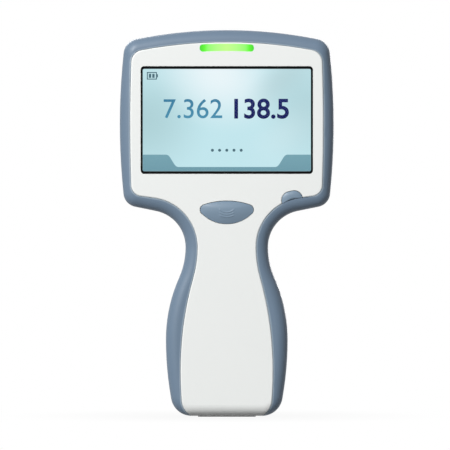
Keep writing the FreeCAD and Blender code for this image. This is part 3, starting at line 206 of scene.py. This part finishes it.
def moulded(name, code, roughness, grain, depth, patch=0.03, level=0.5):
    """A moulded plastic or rubber: a fine grain from the tool's surface, and faint broad tone."""
    material, tree, shader = new_material(name)
    shader.inputs["Specular IOR Level"].default_value = level
    place = add_node(tree, "ShaderNodeTexCoord").outputs["Object"]
    broad = add_node(tree, "ShaderNodeTexNoise", links={"Vector": place}, sockets={"Scale": 1 / (30 * mm)})
    tone = add_node(tree, "ShaderNodeMix", data_type="RGBA", links={0: broad.outputs["Fac"]})
    tone.inputs[6].default_value = [c * (1 - patch) for c in linear(code)[:3]] + [1]
    tone.inputs[7].default_value = [min(c * (1 + patch), 1) for c in linear(code)[:3]] + [1]
    fine = add_node(tree, "ShaderNodeTexNoise", links={"Vector": place},
                    sockets={"Scale": 1 / grain, "Detail": 3.0, "Roughness": 0.6})
    gloss = add_node(tree, "ShaderNodeMapRange", links={"Value": fine.outputs["Fac"]}, sockets={
        "From Min": 0.3, "From Max": 0.7, "To Min": roughness * 0.9, "To Max": roughness * 1.1})
    bump = add_node(tree, "ShaderNodeBump", links={"Height": fine.outputs["Fac"]},
                    sockets={"Strength": 0.4, "Distance": depth})
    tree.links.new(tone.outputs[2], shader.inputs["Base Color"])
    tree.links.new(gloss.outputs[0], shader.inputs["Roughness"])
    tree.links.new(bump.outputs[0], shader.inputs["Normal"])
    return material


dress("drive_motor", metal("drawn_steel_can", "#aeb1b5", 0.26, 0.5 * mm, (0.08, 1, 1)))
dress("motor_pinion", metal("turned_brass", "#c9a55b", 0.24, 0.3 * mm, (1, 0.2, 0.2)))
dress("drive_gear", moulded("white_acetal", "#e6e4dc", 0.36, 0.5 * mm, 0.02 * mm))

# The press: a carriage on the two rods, with the contact head and the two plungers.
# Glass-filled nylon, gold-plated sprung pins, and plungers in clear-coated acetal.
glass_nylon = moulded("glass_filled_nylon", "#2b2e31", 0.52, 0.4 * mm, 0.03 * mm, 0.08)
dress("press_carriage", moulded("blue_grey_nylon", "#5d6b78", 0.5, 0.4 * mm, 0.03 * mm, 0.06))
dress("contact_block", glass_nylon)
gold_plate = metal("gold_plate", "#d8ac52", 0.2, 0.3 * mm)
dress("contact_pins", gold_plate)
dress("calibrant_plunger sample_plunger", moulded("natural_acetal", "#dfe3e2", 0.34, 0.5 * mm, 0.02 * mm))
switch_black = moulded("switch_plastic", "#1d1e20", 0.42, 0.4 * mm, 0.02 * mm)
dress("home_sensor end_stop_switch", switch_black)

# The cartridge guide takes the test cartridge, and the heater plate warms it.
# A black moulding with a ground aluminium plate clipped to its back.
dress("cartridge_guide", glass_nylon)
dress("heater_plate", metal("ground_aluminium", "#c9ccd0", 0.3, 0.5 * mm, (0.1, 1, 1)))

# The status light: a frosted acrylic strip along the top edge, lit by five small lamps behind.
# It glows green, palest over the lamps at its middle and deepest at its two ends.
bar_half = 17.4 * mm
light_bar, tree, shader = new_material("lit_green_acrylic")
shader.inputs["Base Color"].default_value = linear("#1d5c12")
shader.inputs["Roughness"].default_value = 0.3
shader.inputs["Emission Strength"].default_value = 0.92
place = add_node(tree, "ShaderNodeTexCoord").outputs["Object"]
cut = add_node(tree, "ShaderNodeSeparateXYZ", links={0: place})
out = add_node(tree, "ShaderNodeMath", operation="ABSOLUTE", links={0: cut.outputs["X"]})
share = add_node(tree, "ShaderNodeMapRange", links={"Value": out.outputs[0]},
                 sockets={"From Min": 0.0, "From Max": bar_half})
green = add_node(tree, "ShaderNodeValToRGB", links={"Fac": share.outputs[0]})
for spot in (0.35, 0.68, 0.82):
    green.color_ramp.elements.new(spot)
for stop, code in zip(green.color_ramp.elements, ("#c6ff8c", "#b4fe86", "#92fb6c", "#55f012", "#2fc70d")):
    stop.color = linear(code)
tree.links.new(green.outputs[0], shader.inputs["Emission Color"])
dress("light_bar", light_bar)
dress("status_leds", moulded("lamp_ceramic", "#f0eedf", 0.4, 0.3 * mm, 0.01 * mm))
track_apart = 1.3 * mm
patch_size = 11 * mm
wave_unit = math.tau / 20


def circuit_board(name, code):
    """Glass-epoxy board under solder mask: straight tracks that turn from patch to patch.

    Real tracks are about 0.2 mm wide, so they are drawn coarser to show. The bands of a wave
    texture at scale 1 lie wave_unit apart.
    """
    material, tree, shader = new_material(name)
    shader.inputs["Roughness"].default_value = 0.32
    place = add_node(tree, "ShaderNodeTexCoord").outputs["Object"]
    patches = add_node(tree, "ShaderNodeTexVoronoi", distance="CHEBYCHEV", links={"Vector": place},
                       sockets={"Scale": 1 / patch_size, "Randomness": 0.7})
    pick = add_node(tree, "ShaderNodeMath", operation="GREATER_THAN", links={0: patches.outputs["Color"]})
    runs = [add_node(tree, "ShaderNodeTexWave", bands_direction=way, links={"Vector": place},
                     sockets={"Scale": wave_unit / track_apart}).outputs["Fac"] for way in "XZ"]
    run = add_node(tree, "ShaderNodeMix", links={0: pick.outputs[0], 2: runs[0], 3: runs[1]})
    line = add_node(tree, "ShaderNodeMapRange", links={"Value": run.outputs[0]},
                    sockets={"From Min": 0.85, "From Max": 0.95})
    tone = add_node(tree, "ShaderNodeMix", data_type="RGBA", links={0: line.outputs[0]})
    tone.inputs[6].default_value = linear(code)
    tone.inputs[7].default_value = [min(c * 1.6, 1) for c in linear(code)[:3]] + [1]
    bump = add_node(tree, "ShaderNodeBump", links={"Height": line.outputs[0]},
                    sockets={"Strength": 0.3, "Distance": 0.04 * mm})
    tree.links.new(tone.outputs[2], shader.inputs["Base Color"])
    tree.links.new(bump.outputs[0], shader.inputs["Normal"])
    return material


green_board = circuit_board("green_solder_mask", "#1c5a38")
dress("light_board", circuit_board("white_solder_mask", "#c9cec8"))

# The display: a liquid crystal panel in a sheet tray, clamped against the front housing.
# Its picture is a pale blue start screen with a deeper foot, and over it a painted slanting sheen and painted
# shade in soft pools.
screen_low, screen_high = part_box("display_panel")
screen_middle_z = (screen_low.z + screen_high.z) / 2
picture, tree, shader = new_material("lit_start_screen")
shader.inputs["Base Color"].default_value = linear("#0b0c0d")
shader.inputs["Specular IOR Level"].default_value = 0.0
shader.inputs["Roughness"].default_value = 0.4
shader.inputs["Emission Strength"].default_value = 1.0
place = add_node(tree, "ShaderNodeTexCoord").outputs["Object"]
# Each painted pool, painted sheen where lighter and painted shade where darker: place from the
# screen's middle in mm, reach in mm, flattening, slant in degrees, share at its middle, colour
painted_sheen_pools = [
    ((-52, 0), 46, 1.0, 0, 0.85, "#abced3"),
    ((-50, 34), 24, 1.0, 0, 0.3, "#c6e6ec"),
    ((-6, 30), 50, 0.8, 28, 1.0, "#e9f5f9"),
    ((36, 26), 34, 0.5, -40, 0.7, "#b9d3d8"),
    ((50, 8), 34, 1.3, 0, 0.8, "#afd1d7"),
    ((36, -10), 34, 0.6, -40, 0.4, "#cfe9ee"),
]
shade = None
for (x, z), reach, flat, slant, most, code in painted_sheen_pools:
    turn = add_node(tree, "ShaderNodeMapping", vector_type="TEXTURE", links={"Vector": place}, sockets={
        "Location": (x * mm, 0, screen_middle_z + z * mm), "Rotation": (0, math.radians(slant), 0),
        "Scale": (reach * mm, 1.0, reach * flat * mm)})
    apart = add_node(tree, "ShaderNodeVectorMath", operation="LENGTH", links={0: turn.outputs[0]})
    near = add_node(tree, "ShaderNodeMapRange", interpolation_type="SMOOTHSTEP",
                    links={"Value": apart.outputs["Value"]},
                    sockets={"From Min": 0.0, "From Max": 1.0, "To Min": most, "To Max": 0.0})
    pool = add_node(tree, "ShaderNodeMix", data_type="RGBA", links={0: near.outputs[0]})
    pool.inputs[6].default_value = linear("#c2e6ed")
    if shade:
        tree.links.new(shade, pool.inputs[6])
    pool.inputs[7].default_value = linear(code)
    shade = pool.outputs[2]
tree.links.new(shade, shader.inputs["Emission Color"])
dress("display_panel", picture)
dress("display_frame", metal("pressed_tray_steel", "#a9acb0", 0.36, 0.6 * mm, (0.1, 1, 1)))
dress("display_flex base_flex", moulded("polyimide_ribbon", "#b3762a", 0.28, 2.0 * mm, 0.02 * mm, 0.1))

# The clear cover bonded over the display, in its black moulded ring.
# Chemically hardened glass, clear, flat and polished. Its coat mirrors the room only faintly,
# so the index here is lower than the glass's own 1.5.
cover_glass, tree, shader = new_material("hardened_clear_glass")
shader.inputs["Base Color"].default_value = (1, 1, 1, 1)
shader.inputs["Transmission Weight"].default_value = 1.0
shader.inputs["IOR"].default_value = 1.2
place = add_node(tree, "ShaderNodeTexCoord").outputs["Object"]
smears = add_node(tree, "ShaderNodeTexNoise", links={"Vector": place}, sockets={"Scale": 1 / (25 * mm)})
gloss = add_node(tree, "ShaderNodeMapRange", links={"Value": smears.outputs["Fac"]},
                 sockets={"To Min": 0.0, "To Max": 0.02})
tree.links.new(gloss.outputs[0], shader.inputs["Roughness"])
dress("touch_glass", cover_glass)
dress("screen_gasket", moulded("black_ring_plastic", "#030404", 0.5, 0.5 * mm, 0.004 * mm, 0.03, 0.05))

# What the start screen shows: two plain readings, five progress dots, a charge mark
# and a darker foot with raised ends. They are print on the glass's back, a hair thick.
ink_thickness = 0.06 * mm
ink_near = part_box("touch_glass")[1].y - 0.08 * mm
figures_foot = 191.2 * mm
figures_height = 12.6 * mm
capital_share = 0.72


def lit_ink(name, top_code, low_code, low_z, top_z):
    """A colour of the lit screen that runs from low_code at low_z to top_code at top_z."""
    material, tree, shader = new_material(name)
    shader.inputs["Base Color"].default_value = linear("#050607")
    shader.inputs["Specular IOR Level"].default_value = 0.0
    shader.inputs["Emission Strength"].default_value = 1.0
    place = add_node(tree, "ShaderNodeTexCoord").outputs["Object"]
    cut = add_node(tree, "ShaderNodeSeparateXYZ", links={0: place})
    rise = add_node(tree, "ShaderNodeMapRange", links={"Value": cut.outputs["Z"]}, sockets={
        "From Min": low_z, "From Max": top_z})
    tone = add_node(tree, "ShaderNodeMix", data_type="RGBA", links={0: rise.outputs[0]})
    tone.inputs[6].default_value = linear(low_code)
    tone.inputs[7].default_value = linear(top_code)
    tree.links.new(tone.outputs[2], shader.inputs["Emission Color"])
    return material


def settle(piece, material, body="analyzer"):
    """The finished piece: its place goes into its mesh, and it rides on its body."""
    deselect()
    piece.select_set(True)
    bpy.context.view_layer.objects.active = piece
    if piece.type != "MESH":
        bpy.ops.object.convert(target="MESH")
    bpy.ops.object.transform_apply(location=True, rotation=True, scale=True)
    piece.data.materials.clear()
    piece.data.materials.append(material)
    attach(piece, body)


def thicken():
    """Gives the flat mesh in hand the thickness of the print."""
    bpy.ops.object.mode_set(mode="EDIT")
    bpy.ops.mesh.select_all(action="SELECT")
    bpy.ops.mesh.extrude_region_move(TRANSFORM_OT_translate={"value": (0, ink_thickness, 0)})
    bpy.ops.mesh.select_all(action="SELECT")
    bpy.ops.mesh.normals_make_consistent(inside=False)
    bpy.ops.object.mode_set(mode="OBJECT")


def reading(name, words, left, bold, material):
    """Figures on the screen, from their left edge: bold is how far their strokes are thickened."""
    deselect()
    bpy.ops.object.text_add(location=(left, ink_near, figures_foot), rotation=upright)
    text = bpy.context.object
    text.name = name
    text.data.body = words
    text.data.size = figures_height / capital_share
    text.data.offset = bold
    text.data.extrude = ink_thickness / 6
    settle(text, material)


steel_ink = lit_ink("steel_blue_ink", "#3d7ea0", "#4a8fae", 191 * mm, 203 * mm)
navy_ink = lit_ink("navy_ink", "#1b2464", "#151c58", 191 * mm, 203 * mm)
slate_ink = lit_ink("slate_ink", "#4c6c78", "#4c6c78", 170 * mm, 215 * mm)
reading("first_reading", "7.362", -41.2 * mm, 0.04 * mm, steel_ink)
reading("second_reading", "138.5", 1.6 * mm, 0.36 * mm, navy_ink)


def flat_shape(name, outline, material):
    """A thin flat shape on the glass's back, from its outline of x and z in mm."""
    deselect()
    bpy.ops.mesh.primitive_circle_add(vertices=len(outline), radius=1.0, fill_type="NGON")
    piece = bpy.context.object
    piece.name = name
    for corner, (x, z) in zip(piece.data.vertices, outline):
        corner.co = (x * mm, ink_near, z * mm)
    thicken()
    settle(piece, material)


# The screen's darker foot, in mm: it ends foot_gap short of the picture's sides and rises in
# an S-shaped shoulder from the band in its middle to a tab at each end.
foot_gap = 0.05
screen_half = screen_high.x / mm - foot_gap
foot_z = screen_low.z / mm + foot_gap
tab_z = 167.8
band_z = 159.9
shoulder_out = 39.2
shoulder_in = 30.6
shoulder_steps = 12
half_foot = [(screen_half, foot_z), (screen_half, tab_z)]
for i in range(shoulder_steps + 1):
    share = i / shoulder_steps
    ease = share ** 3 * (10 - 15 * share + 6 * share * share)
    half_foot.append((shoulder_out + (shoulder_in - shoulder_out) * share, tab_z + (band_z - tab_z) * ease))
outline = half_foot + [(-x, z) for x, z in reversed(half_foot)]
flat_shape("screen_foot", outline, lit_ink("teal_foot_ink", "#76a3b0", "#6f9ba9", foot_z * mm, tab_z * mm))
dot_radius = 0.95 * mm
dot_pitch = 4.6 * mm
dot_count = 5
dots_z = 170.6 * mm
deselect()
bpy.ops.mesh.primitive_circle_add(vertices=20, radius=dot_radius, fill_type="NGON", rotation=upright,
                                  location=(-dot_pitch * (dot_count - 1) / 2, ink_near, dots_z))
dots = bpy.context.object
dots.name = "progress_dots"
bpy.ops.object.transform_apply(location=True, rotation=True)
thicken()
row = dots.modifiers.new("row_of_dots", "ARRAY")
row.count = dot_count
row.use_relative_offset = False
row.use_constant_offset = True
row.constant_offset_displace = (dot_pitch, 0, 0)
bpy.ops.object.modifier_apply(modifier=row.name)
settle(dots, slate_ink)
# The charge mark: x, z, width and height in mm of its four sides, its cap and its two bars
charge_strokes = [(-50.8, 218.2, 0.6, 4.8), (-45.0, 218.2, 0.6, 4.8), (-47.9, 220.3, 5.2, 0.6),
                  (-47.9, 216.1, 5.2, 0.6), (-44.4, 218.2, 0.7, 2.0), (-49.1, 218.2, 1.5, 2.6),
                  (-46.9, 218.2, 1.5, 2.6)]
deselect()
charge = None
for x, z, wide, tall in charge_strokes:
    bpy.ops.mesh.primitive_plane_add(size=mm, location=(x * mm, ink_near, z * mm), rotation=upright)
    if not charge:
        charge = bpy.context.object
        charge.name = "charge_mark"
        bpy.ops.object.transform_apply(location=True, rotation=True)
        bpy.ops.object.mode_set(mode="EDIT")
    bpy.ops.transform.resize(value=(wide, 1, tall), center_override=(x * mm, ink_near, z * mm))
bpy.ops.object.mode_set(mode="OBJECT")
thicken()
settle(charge, slate_ink)

# The two buttons stand on silicone domes on their own small board behind the front.
# Each cap is a crowned moulding in satin blue-grey, and the large one has three raised curves.
dress("button_board", green_board)
clear_silicone = moulded("clear_silicone", "#c9cdcc", 0.45, 0.6 * mm, 0.02 * mm)


def merged_copy(node, name):
    """A copy of a CAD node as a piece of its own, with its loose triangles joined."""
    deselect()
    piece = nodes[node].copy()
    piece.data = nodes[node].data.copy()
    bpy.context.scene.collection.objects.link(piece)
    piece.parent = None
    piece.name = name
    piece.select_set(True)
    bpy.context.view_layer.objects.active = piece
    bpy.ops.object.mode_set(mode="EDIT")
    bpy.ops.mesh.select_all(action="SELECT")
    bpy.ops.mesh.remove_doubles(threshold=0.001 * mm)
    bpy.ops.object.mode_set(mode="OBJECT")
    return piece


for button, travel in (("scan", 1.0 * mm), ("power", 0.8 * mm)):
    dome = merged_copy(button + "_dome", button + "_dome_skirt")
    bpy.ops.object.shade_smooth_by_angle(angle=math.radians(35))
    settle(dome, clear_silicone)
    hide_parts(button + "_dome")
    near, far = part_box(button + "_dome")
    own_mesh(dome)
button_plastic = moulded("satin_button_plastic", "#74889b", 0.42, 0.5 * mm, 0.015 * mm, 0.02, 0.4)
fine_face = 0.2 * mm
skirt_start = 0.9 * mm
skirt_look = 0.5 * mm
rim_steps = 72
rim_share = 0.9
ridge_height = 0.25 * mm
ridge_width = 0.35 * mm


def crowned_cap(node, name, body, edge_drop, steepness, rise, ridges=()):
    """The cap of a button: the CAD's outline and skirt, with its face raised like a pillow.

    The face falls by edge_drop from its middle, rise above the outline's, to its rim. Each
    ridge is an arc with its middle, radius and half width.
    """
    low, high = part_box(node)
    cap = merged_copy(node, name)
    remesh = cap.modifiers.new("even_faces", "REMESH")
    remesh.mode = "VOXEL"
    remesh.voxel_size = fine_face
    bpy.ops.object.modifier_apply(modifier=remesh.name)
    crown_end = low.y + edge_drop + skirt_start
    middle = (low + high) / 2
    middle.z += rise
    rim = [0.0] * rim_steps
    for v in cap.data.vertices:
        if v.co.y < crown_end + skirt_look:
            turn = math.atan2(v.co.z - middle.z, v.co.x - middle.x) % math.tau / math.tau * rim_steps
            rim[int(turn)] = max(rim[int(turn)], math.hypot(v.co.x - middle.x, v.co.z - middle.z))
    for v in cap.data.vertices:
        if v.co.y > crown_end:
            continue
        turn = math.atan2(v.co.z - middle.z, v.co.x - middle.x) % math.tau / math.tau * rim_steps - 0.5
        step, part = math.floor(turn), turn - math.floor(turn)
        edge = rim[step % rim_steps] * (1 - part) + rim[(step + 1) % rim_steps] * part
        share = min(math.hypot(v.co.x - middle.x, v.co.z - middle.z) / edge, 1)
        crown = low.y + ridge_height + edge_drop * share ** steepness
        for middle_x, middle_z, radius, half in ridges:
            apart = math.hypot(v.co.x - middle_x, v.co.z - middle_z)
            if v.co.z < middle_z and abs(v.co.x - middle_x) < half:
                crown -= ridge_height * math.exp(-((apart - radius) / ridge_width) ** 2)
        v.co.y = crown if share < rim_share else max(v.co.y, crown)
    smooth = cap.modifiers.new("soft_crown", "SMOOTH")
    smooth.factor = 0.5
    smooth.iterations = 6
    bpy.ops.object.modifier_apply(modifier=smooth.name)
    bpy.ops.object.shade_smooth()
    settle(cap, button_plastic, body)
    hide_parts(node)


scan_ridges = [(0, 137.5 * mm, radius * mm, 4.6 * mm) for radius in (6.6, 8.1, 9.6)]
crowned_cap("scan_button", "scan_button_cap", "scan_key", 1.8 * mm, 2.1, 1.2 * mm, scan_ridges)
crowned_cap("power_button", "power_button_cap", "power_key", 0.9 * mm, 2.6, 0)

# The main board carries the processor under its tin shield, the radio and the clock's cell.
# Reflow-soldered parts on green glass-epoxy, held on the front housing by screws.
dress("main_board", green_board)
dress("power_board", circuit_board("blue_solder_mask", "#1d4468"))
dress("board_chips", moulded("chip_epoxy", "#17181a", 0.5, 0.3 * mm, 0.01 * mm))
dress("processor_shield radio_module", metal("tin_plate", "#c2c5c6", 0.3, 1.2 * mm))
dress("coin_cell", metal("nickel_plated_steel", "#c8c8c4", 0.22, 0.6 * mm, (1, 1, 0.2)))
dress("board_connectors", moulded("ivory_nylon", "#ddd8c6", 0.45, 0.4 * mm, 0.02 * mm))

# The blank label lies in its recess at the back of the head.
# Silver-grey polyester film with a satin coat, where the real one carries its ratings.
dress("rating_label", moulded("satin_label_film", "#c3c8ca", 0.3, 1.5 * mm, 0.004 * mm, 0.01))

# The speaker and the barcode imager look out through the back of the head.
# A paper cone in a steel basket, and a black camera block with a coated glass lens.
dress("speaker", moulded("speaker_basket", "#232426", 0.5, 0.6 * mm, 0.03 * mm))
dress("imager_body", switch_black)
lens_glass, tree, shader = new_material("coated_lens_glass")
shader.inputs["Roughness"].default_value = 0.04
shader.inputs["Coat Weight"].default_value = 1.0
place = add_node(tree, "ShaderNodeTexCoord").outputs["Object"]
rings = add_node(tree, "ShaderNodeTexNoise", links={"Vector": place}, sockets={"Scale": 1 / (4 * mm)})
tone = add_node(tree, "ShaderNodeMix", data_type="RGBA", links={0: rings.outputs["Fac"]})
tone.inputs[6].default_value = linear("#12141f")
tone.inputs[7].default_value = linear("#2a1f3a")
tree.links.new(tone.outputs[2], shader.inputs["Base Color"])
dress("imager_lens", lens_glass)
smoked, tree, shader = new_material("smoked_window_acrylic")
shader.inputs["Transmission Weight"].default_value = 0.85
shader.inputs["IOR"].default_value = 1.49
place = add_node(tree, "ShaderNodeTexCoord").outputs["Object"]
haze = add_node(tree, "ShaderNodeTexNoise", links={"Vector": place}, sockets={"Scale": 1 / (12 * mm)})
tone = add_node(tree, "ShaderNodeMix", data_type="RGBA", links={0: haze.outputs["Fac"]})
tone.inputs[6].default_value = linear("#4a2026")
tone.inputs[7].default_value = linear("#5a282e")
gloss = add_node(tree, "ShaderNodeMapRange", links={"Value": haze.outputs["Fac"]},
                 sockets={"To Min": 0.02, "To Max": 0.06})
tree.links.new(tone.outputs[2], shader.inputs["Base Color"])
tree.links.new(gloss.outputs[0], shader.inputs["Roughness"])
dress("imager_window", smoked)

# The two housings: the white front panel and the back cover, with a cord seal between.
# Injection-moulded blend of polycarbonate and ABS with a fine satin texture.
dress("front_housing", moulded("white_housing_blend", "#e9ebea", 0.4, 0.8 * mm, 0.01 * mm, 0.006, 0.4))
dress("back_housing", moulded("white_back_blend", "#dfe2e2", 0.46, 0.8 * mm, 0.03 * mm, 0.012, 0.4))
dress("housing_seal", moulded("grey_seal_silicone", "#3a3d40", 0.55, 0.5 * mm, 0.02 * mm))

# The rail is the soft blue-grey band that runs all round the edge and down the grip.
# Thermoplastic elastomer moulded over the housings: satin, and slightly soft to the touch.
# Beside the front panel its colour is painted paler, a painted highlight along the panel's border.
painted_highlight_start = 0.2 * mm
painted_highlight_end = 1.3 * mm
panel_mesh = nodes["front_housing"].data
panel_tree = BVHTree.FromPolygons([v.co for v in panel_mesh.vertices],
                                  [p.vertices for p in panel_mesh.polygons])
rail_mesh = nodes["side_rail"].data
apart = rail_mesh.attributes.new("apart_from_panel", "FLOAT", "POINT")
for v in rail_mesh.vertices:
    apart.data[v.index].value = panel_tree.find_nearest(v.co)[3]
rail_rubber = moulded("blue_grey_elastomer", "#66798d", 0.48, 0.9 * mm, 0.02 * mm, 0.015, 0.45)
tree = rail_rubber.node_tree
shader = tree.nodes["Principled BSDF"]
from_panel = add_node(tree, "ShaderNodeAttribute", attribute_name=apart.name).outputs["Fac"]
# Painted highlight: the rail's colour turns paler within 1.3 mm of the front panel, palest within 0.2 mm.
painted_highlight = add_node(tree, "ShaderNodeMapRange", links={"Value": from_panel}, sockets={
    "From Min": painted_highlight_start, "From Max": painted_highlight_end, "To Min": 1.0, "To Max": 0.0})
tone = add_node(tree, "ShaderNodeMix", data_type="RGBA", links={
    0: painted_highlight.outputs[0], 6: shader.inputs["Base Color"].links[0].from_socket})
tone.inputs[7].default_value = linear("#a3b2bf")
tree.links.new(tone.outputs[2], shader.inputs["Base Color"])
dress("side_rail", rail_rubber)
dress("screw_plugs", moulded("grey_plug_elastomer", "#b9bfc4", 0.55, 0.7 * mm, 0.03 * mm))

# The cartridge port in the foot, with its dark funnel, two rubber feet and charging pads.
# Moulded nylon, nitrile rubber and gold-plated brass.
dress("port_bezel", moulded("slate_nylon", "#49525b", 0.48, 0.5 * mm, 0.03 * mm, 0.06))
dress("base_feet", moulded("nitrile_foot_rubber", "#3a3d40", 0.7, 0.6 * mm, 0.05 * mm, 0.08, 0.35))
dress("dock_contacts battery_contacts battery_terminals", gold_plate)

# The battery pack pulls out of the back of the grip; its two cells are in a printed sleeve.
# Two moulded shells welded together, gold pads on top and sprung catches at the sides.
dress("battery_case battery_lid", moulded("grey_pack_blend", "#9fa9b2", 0.48, 0.8 * mm, 0.03 * mm, 0.02))
dress("battery_cells", moulded("cell_shrink_sleeve", "#2b6d88", 0.25, 3.0 * mm, 0.01 * mm, 0.05))
dress("battery_catches", metal("spring_steel", "#b4b6b9", 0.24, 0.4 * mm, (1, 0.1, 1)))
